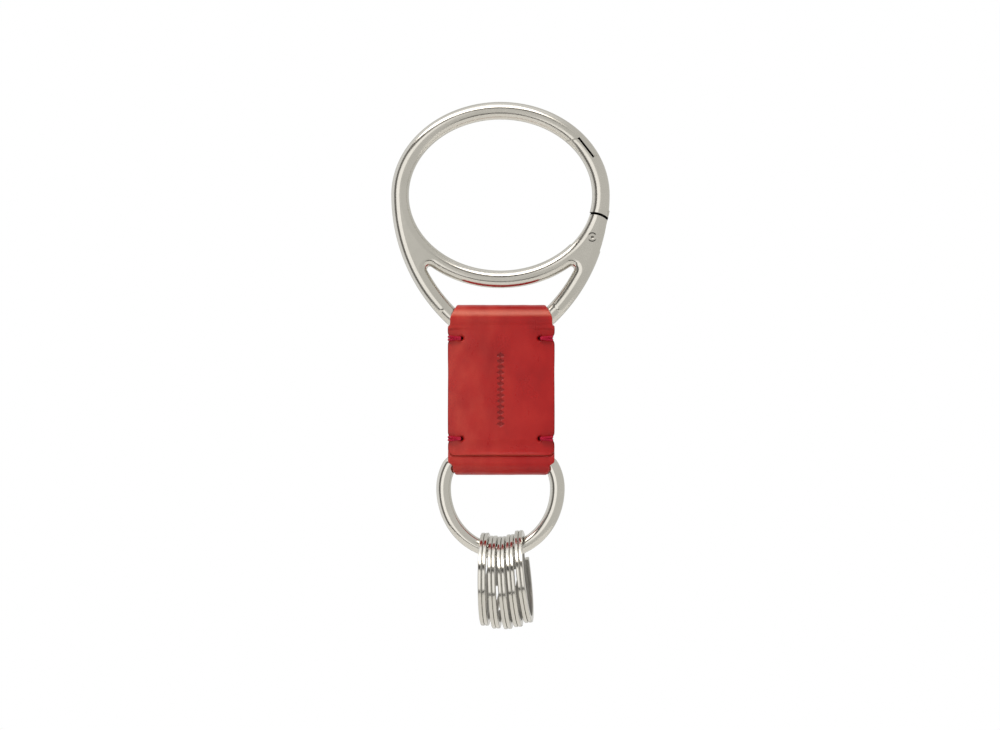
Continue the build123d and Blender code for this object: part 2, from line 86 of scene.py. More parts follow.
# ---- leather strap: its shape -------------------------------------------------------------------
LEATHER = 1.5 * MM                  # thickness
HALF_LEATHER = LEATHER / 2
LAYER_GAP = 0.05 * MM
FRONT_INSET = 0.15 * MM             # how far the front layer steps in below the top fold
STEP_BEND = 4.0 * MM
TAB_BEND = 3.0 * MM
TAB_END_GAP = 1.2 * MM
FOLD_GAP = 0.1 * MM                 # between the leather and a bar inside a fold
FLAP_END_Z = -79.9 * MM             # lower edge of the front layer
FLAP_BEND = 7.0 * MM
FLAP_GAP = 0.12 * MM
FLAP_CORNER = 1.7 * MM
FRONT_LENGTH = 30 * MM              # the flap's end to above the tooling, along the strip
SKIVE_LENGTH = 4.0 * MM             # the flap's end is pared thin on its grain side
SKIVE_DEPTH = 0.95 * MM
CROWN = 0.3 * MM                    # the front falls away a little towards its side edges
EDGE_ROUND = 0.32 * MM              # burnished rounding of the cut edges
ROUND_STEPS = 4                     # mesh steps round a quarter of it
CUT_SHARE = 0.8                     # the rounding shows cut fibres beyond this share of it
TOP_CORNER = (2.2 * MM, 4.0 * MM)   # the folds' corners are cut off, across and down
LOW_CORNER = (1.9 * MM, 2.8 * MM)
CORNER_SOFTNESS = 0.5 * MM
SIDE_SPREAD = (0.1 * MM, 0.45 * MM)  # how far its left and right edges have spread in use
EDGE_WANDER = 0.08 * MM             # unevenness of the cut edges
EDGE_WANDER_SIZE = 5 * MM
WARP = 0.10 * MM                    # slow waviness of the whole strap
WARP_SIZE = 9.0 * MM
DENT = 0.035 * MM                   # small dents of the grain side
DENT_SIZE = 2.4 * MM
STATION_STEP = 0.22 * MM            # mesh spacing along the strip
FINE_STEP = 0.11 * MM               # and across it, near the tacks and the tooling
COARSE_STEP = 0.42 * MM
TOOLING_REACH = 1.3 * MM            # how far the fine spacing goes either side of the middle
HOLE_REACH = 1.5 * MM               # and either side of the thread holes

# ---- room for the arms and the D ring to turn past the leather ----------------------------------
ARM_INSIDE_X = 10.3 * MM            # where an arm's inner edge leaves the strap bar
ARM_LEAN = 1.10                     # how fast that edge leans outwards
ARM_FREE = (105, 125)               # degrees from straight up, over which the arms' limit fades out
D_SIDE_X = 2.6 * MM                 # centre and inner radius of the D ring's rounded sides
D_SIDE_DROP = 6.5 * MM
D_SIDE_RADIUS = 9.35 * MM
D_FREE = (68, 88)                   # degrees from straight down, over which the D ring's fades out
FREE_REACH = (4.4 * MM, 5.2 * MM)   # distances from a bar over which both fade out

# ---- leather strap: its look --------------------------------------------------------------------
DYE_SIZE = 7 * MM
DYE_STRETCH = (1.0, 1.0, 0.6)
DYE = [(0.30, (0.310, 0.005, 0.006)), (0.50, (0.385, 0.008, 0.008)), (0.72, (0.450, 0.017, 0.013))]
RUB_SIZE = 4.5 * MM
RUB_STRETCH = (1.4, 1.0, 0.8)
RUB_RANGE = (0.40, 0.66)            # of the noise, from hardly rubbed to fully rubbed
RUB_AMOUNT = (0.25, 1.0)
RUB_COLOUR = (0.540, 0.062, 0.040)
PALE_SIDE_X = (-11 * MM, 5 * MM)         # the paler patches show more towards the strap's left, fading out to the right
PALE_SIDE_AMOUNT = (0.55, 0.0)
FOLD_HIGHLIGHT = (-46.9 * MM, -45.6 * MM)  # heights of the painted highlight across the top fold
# softness, strength from the rub noise and colour of the painted highlight on the top fold
FOLD_HIGHLIGHT_SOFTNESS = 0.5 * MM
FOLD_HIGHLIGHT_AMOUNT = (0.35, 0.75)
FOLD_HIGHLIGHT_COLOUR = (0.700, 0.170, 0.100)
CREASE_SIZE = 0.42 * MM
CREASE_WIDTH = 0.16                 # as a share of the creases' spacing
CREASE_COLOUR = (0.22, 0.004, 0.004)
CREASE_AMOUNT = 0.14
PORE_SIZE = 0.16 * MM
CUT_FIBRE_SIZE = 0.3 * MM
CUT_COLOURS = ((0.26, 0.020, 0.012), (0.46, 0.060, 0.030))
# darkens the tooled lozenges, and is the painted shade in the thread holes
PRESSED_AND_HOLE_SHADE_COLOUR = (0.022, 0.001, 0.001)
LEATHER_ROUGHNESS = (0.26, 0.38)
LEATHER_SPECULAR = 0.29

# ---- tacks --------------------------------------------------------------------------------------
THREAD_RADIUS = 0.33 * MM
PLY_RADIUS = 0.19 * MM
PLY_OFFSET = 0.15 * MM
PLY_PITCH = 0.95 * MM               # length of one turn of the twist
PLY_SIDES = 8
THREAD_POINTS = 160
LOOP_CORNER = 0.45 * MM             # how tightly the thread turns round the leather
STRAND_AT_HOLE = 0.12 * MM          # half the distance between the two strands
STRAND_AT_EDGE = 0.35 * MM
TACK_INSET = 2.8 * MM               # hole centre in from the strap's edge
NOTCH = 0.6 * MM                    # dent of the strap's edge under the thread
NOTCH_SIZE = 0.8 * MM
HOLE_DEPTH = 1.1 * MM
HOLE_SIZE = 0.45 * MM
HOLE_SHIFT = 0.4 * MM               # how far the hole shows inside the thread
HOLE_SHADE = (0.15, 0.6)            # shares of its depth over which painted shade turns it dark
PULL_DEPTH = 0.22 * MM              # soft hollow that the tight thread pulls in
PULL_SIZE = 1.7 * MM
THREAD_FIBRE_SIZE = 0.12 * MM
THREAD_COLOURS = ((0.26, 0.002, 0.016), (0.62, 0.010, 0.060))
THREAD_ROUGHNESS = (0.45, 0.65)
THREAD_SPECULAR = 0.25

# ---- blind tooling: a row of small lozenges down the middle -------------------------------------
TOOL_TOP_Z = -56.4 * MM
TOOL_PITCH = 1.36 * MM
TOOL_COUNT = 13
TOOL_HALF = (0.92 * MM, 0.62 * MM)  # half a lozenge's width and height
TOOL_DEPTH = 0.25 * MM
TOOL_SOFTNESS = 0.2 * MM
TOOL_SHADE = 0.34                   # how far the tooled lozenges are darkened

# ---- metals -------------------------------------------------------------------------------------
SATIN = {"colour": (0.60, 0.585, 0.535), "tint": (0.64, 0.62, 0.57), "roughness": 0.155,
         "grain_size": 0.10 * MM, "grain": 0.08}
POLISHED = {"colour": (0.62, 0.605, 0.555), "tint": (0.66, 0.64, 0.59), "roughness": 0.14,
            "grain_size": 0.15 * MM, "grain": 0.05}
PIN_STEEL = {"colour": (0.57, 0.555, 0.51), "tint": (0.62, 0.60, 0.55), "roughness": 0.22,
             "grain_size": 0.10 * MM, "grain": 0.10}
SPRING_STEEL = {"colour": (0.40, 0.39, 0.37), "tint": (0.46, 0.45, 0.43), "roughness": 0.28,
                "grain_size": 0.08 * MM, "grain": 0.10}
SPLIT_NICKEL = {"colour": (0.60, 0.585, 0.54), "tint": (0.64, 0.625, 0.58), "roughness": 0.12,
                "grain_size": 0.2 * MM, "grain": 0.03}
DRIFT_SIZE = 7 * MM                 # slow drift of the plating's colour
HAZE_SIZE = 2.2 * MM                # patches hazed by handling
HANDLING = 0.05                     # how much rougher handling and scratches make it
HAIR_SIZE = 0.5 * MM                # hairline scratches
HAIR_STRETCH = (0.35, 2.5, 1.6)
HAIR_RANGE = (0.60, 0.66)
WAVE_SIZE = 1.6 * MM                # faint waves left by the polishing wheel
GRAIN_HEIGHT = 0.01 * MM
WAVE_HEIGHT = 0.02 * MM

# ---- the gate's seams and the pin's groove, where shade is painted ------------------------------
SHOULDER_SEAM = (5.42 * MM, 6.00 * MM)      # distances from the pin's axis
SHOULDER_ABOVE_PIN = 3.4 * MM
LAP_TIP = (18.73 * MM, -4.81 * MM)          # the line of the nose's half lap, x and z
LAP_HEEL = (21.90 * MM, -8.89 * MM)
LAP_SEAM = (-0.10 * MM, 0.38 * MM)          # distances outside that line
PIN_GROOVE = (0.86 * MM, 1.20 * MM)
PIN_DIMPLE = 0.30 * MM
PIN_UNSHADED = (55, 125)                       # degrees from straight up, where its groove has no painted shade
PIN_UNSHADED_SOFTNESS = 15
PIN_SHADE = 0.75
SEAM_SOFTNESS = 0.015 * MM
# colour and roughness of the painted shade in the gate's seams, the pin's groove and the split rings' inner
# faces
PAINTED_SHADE_COLOUR = (0.012, 0.011, 0.010)
PAINTED_SHADE_ROUGHNESS = 0.9

# ---- split rings --------------------------------------------------------------------------------
RING_WIRE = 1.6 * MM                # radial width of the wire
RING_ROUNDING = 0.14 * MM
RING_SHADE = 0.5                    # how dark the painted shade on the inner faces is


def joint(name):
    return next(j for j in frame["joints"] if j["name"] == name)


# ---- places taken from the frame ----------------------------------------------------------------
PIN = joint("gate_hinge")["pos_m"]
BAR_Z = joint("strap_swing")["pos_m"][2]
D_BAR_Z = joint("d_ring_swing")["pos_m"][2]
strap_low, strap_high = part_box("leather_strap")
HALF_STRAP = strap_high.x
TOP_BEND = strap_high.z - BAR_Z - HALF_LEATHER          # bend radii on the leather's middle
LOW_BEND = D_BAR_Z - strap_low.z - HALF_LEATHER
BAR_RADIUS = TOP_BEND - HALF_LEATHER - FOLD_GAP
FRONT_Y = FRONT_INSET - TOP_BEND                        # middle of each layer where they lie flat
TAB_Y = FRONT_Y + LEATHER + LAYER_GAP
BACK_Y = TAB_Y + LEATHER + LAYER_GAP
TACK_ROWS = [sum(corner.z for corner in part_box(f"tack_{row}_left")) / 2 for row in ("upper", "lower")]
HOLE_X = HALF_STRAP - TACK_INSET


# ================================================================================== node helpers
def new_material(name):
    """A material with one Principled shader; returns the material, its tree and the shader."""
    material = bpy.data.materials.new(name)
    material.use_nodes = True
    tree = material.node_tree
    return material, tree, tree.nodes["Principled BSDF"]


def add(tree, kind, **settings):
    """A new node; settings name its properties, or its input sockets where it has no such property."""
    node = tree.nodes.new(kind)
    for key, value in settings.items():
        if hasattr(node, key):
            setattr(node, key, value)
        else:
            node.inputs[key.replace("_", " ")].default_value = value
    return node


def link(tree, start, end):
    tree.links.new(start, end)


def object_place(tree):
    return add(tree, "ShaderNodeTexCoord").outputs["Object"]


def split(tree, vector):
    """The X, Y and Z outputs of a vector socket."""
    node = add(tree, "ShaderNodeSeparateXYZ")
    link(tree, vector, node.inputs[0])
    return node.outputs


def object_noise(tree, size, detail=3.0, roughness=0.55, stretch=(1, 1, 1)):
    """Noise in object space whose features are about size metres across."""
    mapping = add(tree, "ShaderNodeMapping")
    mapping.inputs["Scale"].default_value = stretch
    texture = add(tree, "ShaderNodeTexNoise", Scale=1 / size, Detail=detail, Roughness=roughness)
    link(tree, object_place(tree), mapping.inputs["Vector"])
    link(tree, mapping.outputs["Vector"], texture.inputs["Vector"])
    return texture.outputs["Fac"]


def ramp(tree, value, stops):
    """A colour ramp; stops are (position, colour) pairs."""
    node = add(tree, "ShaderNodeValToRGB")
    elements = node.color_ramp.elements
    while len(elements) < len(stops):
        elements.new(0.5)
    for element, (position, colour) in zip(elements, stops):
        element.position = position
        element.color = (*colour, 1)
    link(tree, value, node.inputs["Fac"])
    return node.outputs["Color"]


def two_tone(tree, value, colours):
    """A ramp between two colours over the middle of a noise's range."""
    return ramp(tree, value, [(0.3, colours[0]), (0.7, colours[1])])


def spread(tree, value, low, high, from_low=0.0, from_high=1.0):
    """value carried from one range to another."""
    node = add(tree, "ShaderNodeMapRange")
    for name, number in zip(("From Min", "From Max", "To Min", "To Max"),
                            (from_low, from_high, low, high)):
        node.inputs[name].default_value = number
    link(tree, value, node.inputs["Value"])
    return node.outputs["Result"]


def mix(tree, factor, first, second):
    """Colour mix; first and second are sockets or colours, factor a socket or a number."""
    node = add(tree, "ShaderNodeMix", data_type="RGBA")
    colour_sockets = [s for s in node.inputs if s.type == "RGBA"]
    for socket, value in zip((node.inputs[0], *colour_sockets), (factor, first, second)):
        if isinstance(value, bpy.types.NodeSocket):
            link(tree, value, socket)
        elif isinstance(value, tuple):
            socket.default_value = (*value, 1)
        else:
            socket.default_value = value
    return next(s for s in node.outputs if s.type == "RGBA")


def bump(tree, shader, layers):
    """Bump layers, each (height socket, strength, distance)."""
    normal = None
    for height, strength, distance in layers:
        node = add(tree, "ShaderNodeBump", Strength=strength, Distance=distance)
        link(tree, height, node.inputs["Height"])
        if normal:
            link(tree, normal, node.inputs["Normal"])
        normal = node.outputs["Normal"]
    link(tree, normal, shader.inputs["Normal"])


def calculate(tree, operation, *values):
    """The result of a Math node; values are sockets or numbers."""
    node = add(tree, "ShaderNodeMath", operation=operation)
    for socket, value in zip(node.inputs, values):
        if isinstance(value, bpy.types.NodeSocket):
            link(tree, value, socket)
        else:
            socket.default_value = value
    return node.outputs[0]


def times(tree, first, second):
    return calculate(tree, "MULTIPLY", first, second)


def window(tree, value, low, high, softness):
    """1 where value lies between low and high, falling softly to 0 outside."""
    sides = []
    for centre, start, end in ((low, 0, 1), (high, 1, 0)):
        node = add(tree, "ShaderNodeMapRange", interpolation_type="SMOOTHSTEP")
        link(tree, value, node.inputs["Value"])
        node.inputs["From Min"].default_value = centre - softness
        node.inputs["From Max"].default_value = centre + softness
        node.inputs["To Min"].default_value = start
        node.inputs["To Max"].default_value = end
        sides.append(node.outputs["Result"])
    return times(tree, *sides)


# ===================================================================================== materials
def from_pin(tree, place):
    """In the front view, a point's distance from the gate pin's axis, and how far right of and above it."""
    across = calculate(tree, "SUBTRACT", place["X"], PIN[0])
    up = calculate(tree, "SUBTRACT", place["Z"], PIN[2])
    squares = calculate(tree, "ADD", times(tree, across, across), times(tree, up, up))
    return calculate(tree, "SQRT", squares), across, up


def seam_painted_shade(tree):
    """Painted shade: 1 inside the two seams of the gate, round its shoulder and along the half lap of its
    nose.
    """
    place = split(tree, object_place(tree))
    away, _, up = from_pin(tree, place)
    shoulder = times(tree, window(tree, away, *SHOULDER_SEAM, SEAM_SOFTNESS),
                     window(tree, up, SHOULDER_ABOVE_PIN, 2 * SHOULDER_SEAM[1], SEAM_SOFTNESS))
    run = Vector(LAP_HEEL) - Vector(LAP_TIP)
    length = run.length
    run /= length
    x = calculate(tree, "SUBTRACT", place["X"], LAP_TIP[0])
    z = calculate(tree, "SUBTRACT", place["Z"], LAP_TIP[1])
    along = calculate(tree, "ADD", times(tree, x, run.x), times(tree, z, run.y))
    beyond = calculate(tree, "ADD", times(tree, x, -run.y), times(tree, z, run.x))
    lap = times(tree, window(tree, beyond, *LAP_SEAM, SEAM_SOFTNESS),
                window(tree, along, -LAP_SEAM[1], length + LAP_SEAM[1], SEAM_SOFTNESS))
    return calculate(tree, "MAXIMUM", shoulder, lap)


def pin_painted_shade(tree):
    """Painted shade: 1 in the groove round the pin's head, above and below, and in its dimple."""
    away, across, up = from_pin(tree, split(tree, object_place(tree)))
    groove = window(tree, away, *PIN_GROOVE, 2 * SEAM_SOFTNESS)
    from_up = calculate(tree, "ABSOLUTE", calculate(tree, "ARCTAN2", across, up))
    unshaded = window(tree, from_up, *map(math.radians, (*PIN_UNSHADED, PIN_UNSHADED_SOFTNESS)))
    groove = times(tree, groove, calculate(tree, "SUBTRACT", 1.0, unshaded))
    dimple = window(tree, away, -PIN_DIMPLE, PIN_DIMPLE, 4 * SEAM_SOFTNESS)
    return times(tree, calculate(tree, "MAXIMUM", groove, dimple), PIN_SHADE)


def ring_inside_painted_shade(node):
    """The mask of painted shade on a ring's inner face, which is nearer its centre than the wire's
    rounding.
    """
    low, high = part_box(node)
    centre = (low + high) / 2
    inner = (high.z - low.z) / 2 - RING_WIRE + RING_ROUNDING

    def mask(tree):
        away = add(tree, "ShaderNodeVectorMath", operation="DISTANCE")
        link(tree, object_place(tree), away.inputs[0])
        away.inputs[1].default_value = centre
        inner_shade = window(tree, away.outputs["Value"], -inner, inner, RING_ROUNDING / 2)
        return times(tree, inner_shade, RING_SHADE)

    return mask


def nickel(name, colour, tint, roughness, grain_size, grain, painted_shade=None):
    """Plated metal: faint colour drift, hazier patches from handling, hairline scratches, satin grain, and
    painted shade where a mask is given.
    """
    material, tree, shader = new_material(name)
    shader.inputs["Metallic"].default_value = 1.0
    base = two_tone(tree, object_noise(tree, DRIFT_SIZE, 2.0), (colour, tint))
    haze = object_noise(tree, HAZE_SIZE, 4.0)
    rough = spread(tree, haze, roughness - HANDLING / 2, roughness + HANDLING, 0.3, 0.7)
    hairs = object_noise(tree, HAIR_SIZE, 3.0, 0.6, HAIR_STRETCH)
    rough = calculate(tree, "ADD", rough, spread(tree, hairs, 0.0, HANDLING, *HAIR_RANGE))
    if painted_shade:
        # painted shade: near-black colour and high roughness where the mask is 1
        shade_amount = painted_shade(tree)
        base = mix(tree, shade_amount, base, PAINTED_SHADE_COLOUR)
        rough = calculate(tree, "MAXIMUM", rough, times(tree, shade_amount, PAINTED_SHADE_ROUGHNESS))
    link(tree, base, shader.inputs["Base Color"])
    link(tree, rough, shader.inputs["Roughness"])
    fine = object_noise(tree, grain_size, 2.0)
    waves = object_noise(tree, WAVE_SIZE, 1.0)
    bump(tree, shader, [(fine, grain, GRAIN_HEIGHT), (waves, grain, WAVE_HEIGHT)])
    return material


def rubbed_dye_and_fold_highlight(tree, rub):
    """Mottled dye, paler in rubbed patches that show more towards the left; and a painted highlight across
    the top fold.
    """
    place = split(tree, object_place(tree))
    base = ramp(tree, object_noise(tree, DYE_SIZE, 3.0, 0.5, DYE_STRETCH), DYE)
    # the paler patches fade out from left to right
    pale_side = spread(tree, place["X"], *PALE_SIDE_AMOUNT, *PALE_SIDE_X)
    rubbed = times(tree, spread(tree, rub, *RUB_AMOUNT, *RUB_RANGE), pale_side)
    base = mix(tree, rubbed, base, RUB_COLOUR)
    # painted highlight across the top fold
    fold = window(tree, place["Z"], *FOLD_HIGHLIGHT, FOLD_HIGHLIGHT_SOFTNESS)
    fold = times(tree, fold, spread(tree, rub, *FOLD_HIGHLIGHT_AMOUNT))
    return mix(tree, fold, base, FOLD_HIGHLIGHT_COLOUR)


def leather_material():
    """Waxed red leather: rubbed dye with a painted highlight across the top fold, fine creases and pores,
    cut fibres, darker in the tooled lozenges, and painted shade in the thread holes.
    """
    material, tree, shader = new_material("red_leather_look")
    rub = object_noise(tree, RUB_SIZE, 5.0, 0.6, RUB_STRETCH)
    base = rubbed_dye_and_fold_highlight(tree, rub)
    cells = add(tree, "ShaderNodeTexVoronoi", feature="DISTANCE_TO_EDGE", Scale=1 / CREASE_SIZE)
    link(tree, object_place(tree), cells.inputs["Vector"])
    creases = spread(tree, cells.outputs["Distance"], 0.0, 1.0, 0.0, CREASE_WIDTH)
    base = mix(tree, CREASE_AMOUNT, base, mix(tree, creases, CREASE_COLOUR, base))
    cut = add(tree, "ShaderNodeAttribute", attribute_name="cut_edge")
    fibres = two_tone(tree, object_noise(tree, CUT_FIBRE_SIZE, 4.0), CUT_COLOURS)
    base = mix(tree, cut.outputs["Fac"], base, fibres)
    # darker in the tooled lozenges, and painted shade in the thread holes
    pressed = add(tree, "ShaderNodeAttribute", attribute_name="pressed")
    base = mix(tree, pressed.outputs["Fac"], base, PRESSED_AND_HOLE_SHADE_COLOUR)
    link(tree, base, shader.inputs["Base Color"])
    link(tree, spread(tree, rub, *LEATHER_ROUGHNESS, 0.3, 0.75), shader.inputs["Roughness"])
    shader.inputs["Specular IOR Level"].default_value = LEATHER_SPECULAR
    pores = object_noise(tree, PORE_SIZE, 2.0)
    bump(tree, shader, [(creases, 0.16, 0.03 * MM), (pores, 0.2, 0.02 * MM), (rub, 0.35, 0.10 * MM)])
    return material


def thread_material():
    """Waxed crimson thread with fine fibres."""
    material, tree, shader = new_material("crimson_thread_look")
    fibres = object_noise(tree, THREAD_FIBRE_SIZE, 4.0)
    link(tree, two_tone(tree, fibres, THREAD_COLOURS), shader.inputs["Base Color"])
    link(tree, spread(tree, fibres, *THREAD_ROUGHNESS), shader.inputs["Roughness"])
    shader.inputs["Specular IOR Level"].default_value = THREAD_SPECULAR
    bump(tree, shader, [(fibres, 0.5, 0.03 * MM)])
    return material


def floor_material():
    material, tree, shader = new_material("pale_floor_look")
    grain = object_noise(tree, FLOOR_GRAIN_SIZE, 3.0)
    link(tree, two_tone(tree, grain, FLOOR_COLOURS), shader.inputs["Base Color"])
    shader.inputs["Roughness"].default_value = FLOOR_ROUGHNESS
    return material


# ============================================================================ camera and lights
def make_camera():
    data = bpy.data.cameras.new("camera")
    data.lens = LENS
    data.sensor_width = SENSOR
    data.clip_start = CLIP_START
    camera = bpy.data.objects.new("camera", data)
    camera.location = AIM + Vector((0, -PICTURE_WIDTH * LENS / SENSOR, 0))
    camera.rotation_euler = (math.radians(90), 0, 0)
    bpy.context.scene.collection.objects.link(camera)
    bpy.context.scene.camera = camera


def studio_colour(tree):
    """The studio's colour in each direction: its soft boxes and gaps, one over the other."""
    way = split(tree, add(tree, "ShaderNodeTexCoord").outputs["Generated"])
    azimuth = calculate(tree, "ARCTAN2", way["X"], times(tree, way["Y"], -1.0))
    elevation = calculate(tree, "ARCSINE", way["Z"])
    colour = tuple(STUDIO_LEVEL * tint for tint in STUDIO_TINT)
    for (left, right), (low, high), softness, level, warmth in STUDIO:
        left, right, low, high, softness = map(math.radians, (left, right, low, high, softness))
        inside = times(tree, window(tree, azimuth, left, right, softness),
                       window(tree, elevation, low, high, softness))
        colour = mix(tree, inside, colour, (level, level * (1 + warmth) / 2, level * warmth))
    return colour


def make_studio():
    """A white backdrop for the camera, and for everything else a studio of soft boxes and gaps."""
    world = bpy.data.worlds.new("studio")
    world.use_nodes = True
    bpy.context.scene.world = world
    tree = world.node_tree
    seen = tree.nodes["Background"]
    link(tree, studio_colour(tree), seen.inputs["Color"])
    white = add(tree, "ShaderNodeBackground")
    white.inputs["Color"].default_value = (1, 1, 1, 1)
    rays = add(tree, "ShaderNodeLightPath")
    choice = add(tree, "ShaderNodeMixShader")
    link(tree, rays.outputs["Is Camera Ray"], choice.inputs[0])
    link(tree, seen.outputs[0], choice.inputs[1])
    link(tree, white.outputs[0], choice.inputs[2])
    link(tree, choice.outputs[0], tree.nodes["World Output"].inputs["Surface"])
    bpy.context.scene.view_settings.view_transform = "Standard"


def make_floor():
    bpy.ops.mesh.primitive_circle_add(
        vertices=FLOOR_SIDES, radius=FLOOR_RADIUS, fill_type="NGON", location=(0, 0, FLOOR_Z))
    floor = bpy.context.object
    floor.name = "floor"
    floor.data.materials.append(floor_material())


# ================================================================================== mesh helpers
def make_piece(name, points, faces, material, attributes=None):
    """A smooth-shaded mesh object; attributes gives each attribute's name one value per point."""
    mesh = bpy.data.meshes.new(name)
    mesh.from_pydata([tuple(p) for p in points], [], faces)
    mesh.polygons.foreach_set("use_smooth", [True] * len(faces))
    for attribute, values in (attributes or {}).items():
        layer = mesh.attributes.new(attribute, "FLOAT", "POINT")
        layer.data.foreach_set("value", values)
    mesh.materials.append(material)
    mesh.update()
    piece = bpy.data.objects.new(name, mesh)
    bpy.context.scene.collection.objects.link(piece)
    return piece


def smoothstep(low, high, value):
    share = min(max((value - low) / (high - low), 0.0), 1.0)
    return share * share * (3 - 2 * share)


def soft_min(first, second, softness):
    """The smaller of two values, rounded over where they are close."""
    share = min(max(0.5 + (second - first) / (2 * softness), 0.0), 1.0)
    return second + (first - second) * share - softness * share * (1 - share)


# ========================================================================= the strip's side view
def step_angle(shift):
    return math.acos(1 - abs(shift) / (2 * STEP_BEND))


def step_length(shift):
    return 2 * STEP_BEND * math.sin(step_angle(shift))


def front_moves():
    """From the top of the fold down the front: (length,) for a straight, (radius, turn) for a bend."""
    turn = step_angle(FRONT_INSET)
    reach = FLAP_BEND + LEATHER + LOW_BEND + FLAP_GAP
    rise = math.sqrt(reach**2 - (FLAP_BEND - FRONT_Y) ** 2)
    flare = math.asin((D_BAR_Z + rise - FLAP_END_Z) / FLAP_BEND)
    run = BAR_Z - D_BAR_Z - rise - step_length(FRONT_INSET)
    return [(TOP_BEND, math.pi / 2), (STEP_BEND, turn), (STEP_BEND, -turn), (run,), (FLAP_BEND, -flare)]


def back_moves():
    """From the top of the fold down the back, round the D ring's bar and up between the layers."""
    upper = step_angle(TOP_BEND - BACK_Y)
    lower = step_angle(LOW_BEND - BACK_Y)
    run = BAR_Z - D_BAR_Z - step_length(TOP_BEND - BACK_Y) - step_length(LOW_BEND - BACK_Y)
    wrap = math.acos((TAB_BEND - TAB_Y) / (TAB_BEND + LOW_BEND))
    start = (TAB_BEND + LOW_BEND) * math.sin(wrap)
    tab = BAR_Z - D_BAR_Z - start - BAR_RADIUS - TAB_END_GAP
    return [(TOP_BEND, -math.pi / 2), (STEP_BEND, -upper), (STEP_BEND, upper), (run,),
            (STEP_BEND, lower), (STEP_BEND, -lower), (LOW_BEND, -math.pi - wrap), (TAB_BEND, wrap), (tab,)]


def walk(heading, moves):
    """Stations (y, z, heading) along the strip's middle, from the top of the fold."""
    y, z = 0.0, BAR_Z + TOP_BEND
    stations = [(y, z, heading)]
    for move in moves:
        length = move[0] if len(move) == 1 else abs(move[0] * move[1])
        count = max(2, round(length / STATION_STEP))
        for _ in range(count):
            half_turn = 0.0 if len(move) == 1 else move[1] / count / 2
            chord = length / count if not half_turn else 2 * move[0] * math.sin(abs(half_turn))
            heading += half_turn
            y += chord * math.cos(heading)
            z += chord * math.sin(heading)
            heading += half_turn
            stations.append((y, z, heading))
    return stations


def strip_stations():
    """The whole strip from the flap's end to the tab's end, with its grain side on the left."""
    front = [(y, z, heading + math.pi) for y, z, heading in walk(math.pi, front_moves())]
    return front[:0:-1] + walk(0.0, back_moves())


def distances(stations):
    """Each station's distance along the strip from the flap's end."""
    lengths = [0.0]
    for before, after in zip(stations, stations[1:]):
        lengths.append(lengths[-1] + math.hypot(after[0] - before[0], after[1] - before[1]))
    return lengths


# ============================================================================= the strip's width
def faded(limit, angle, reach, free):
    """A limit on the half width, which fades out past the angles and distances that a swing sweeps."""
    share = smoothstep(*map(math.radians, free), angle)
    share = max(share, smoothstep(*FREE_REACH, reach))
    return limit + (HALF_STRAP - limit) * share


def swing_limit(y, z):
    """How wide the leather may be where the carabiner's arms and the D ring's sides turn past it."""
    limit = HALF_STRAP
    # the arms: straight edges that lean out from the ends of the strap bar
    reach = math.hypot(y, z - BAR_Z)
    arm = ARM_INSIDE_X + (reach - BAR_RADIUS) * ARM_LEAN
    if arm < HALF_STRAP:
        from_up = abs(math.atan2(y, z - BAR_Z))
        limit = min(limit, faded(arm, from_up, reach, ARM_FREE))
    # the D ring's rounded sides
    reach = math.hypot(y, z - D_BAR_Z)
    height = D_SIDE_DROP - reach
    side = D_SIDE_X + math.sqrt(max(D_SIDE_RADIUS**2 - height**2, 0.0))
    if reach < 2 * D_SIDE_DROP and side < HALF_STRAP:
        from_down = abs(math.atan2(y, D_BAR_Z - z))
        limit = min(limit, faded(side, from_down, reach, D_FREE))
    return limit


def half_width(y, z, from_end):
    """Half the strap's width at a point of its side view; from_end is the distance to the flap's end."""
    width = HALF_STRAP
    from_top = strap_high.z - z
    from_bottom = z - strap_low.z
    for distance, (across, down) in ((from_top, TOP_CORNER), (from_bottom, LOW_CORNER)):
        chamfer = HALF_STRAP - across * (1 - distance / down)
        width = soft_min(width, chamfer, CORNER_SOFTNESS)
    for row in TACK_ROWS:
        width -= NOTCH * math.exp(-((z - row) / NOTCH_SIZE) ** 2)
    if from_end < FLAP_CORNER:
        width += math.sqrt(FLAP_CORNER**2 - (FLAP_CORNER - from_end) ** 2) - FLAP_CORNER
    wander = noise.noise(Vector((0, y, z)) / EDGE_WANDER_SIZE) * EDGE_WANDER
    return soft_min(width, swing_limit(y, z), CORNER_SOFTNESS / 2) + wander


def columns():
    """Places across the strap, finer near the tacks and the tooling, as shares of its half width."""
    fine = [(0.0, TOOLING_REACH), (HOLE_X, HOLE_REACH)]
    places = [0.0]
    while places[-1] < HALF_STRAP:
        x = places[-1]
        near = any(abs(x - centre) < reach for centre, reach in fine)
        places.append(x + (FINE_STEP if near else COARSE_STEP))
    places[-1] = HALF_STRAP
    shares = [x / HALF_STRAP for x in places]
    return [-share for share in shares[:0:-1]] + shares


# =========================================================================== the strip's surface
def tooling(x, z):
    """Depth and darkness of the row of lozenges tooled into the front."""
    index = round((TOOL_TOP_Z - z) / TOOL_PITCH)
    if not 0 <= index < TOOL_COUNT:
        return 0.0, 0.0
    from_middle = abs(z - (TOOL_TOP_Z - index * TOOL_PITCH)) / TOOL_HALF[1]
    inside = 1 - abs(x) / TOOL_HALF[0] - from_middle
    share = smoothstep(-TOOL_SOFTNESS, TOOL_SOFTNESS * 1.5, inside)
    return TOOL_DEPTH * share, TOOL_SHADE * share


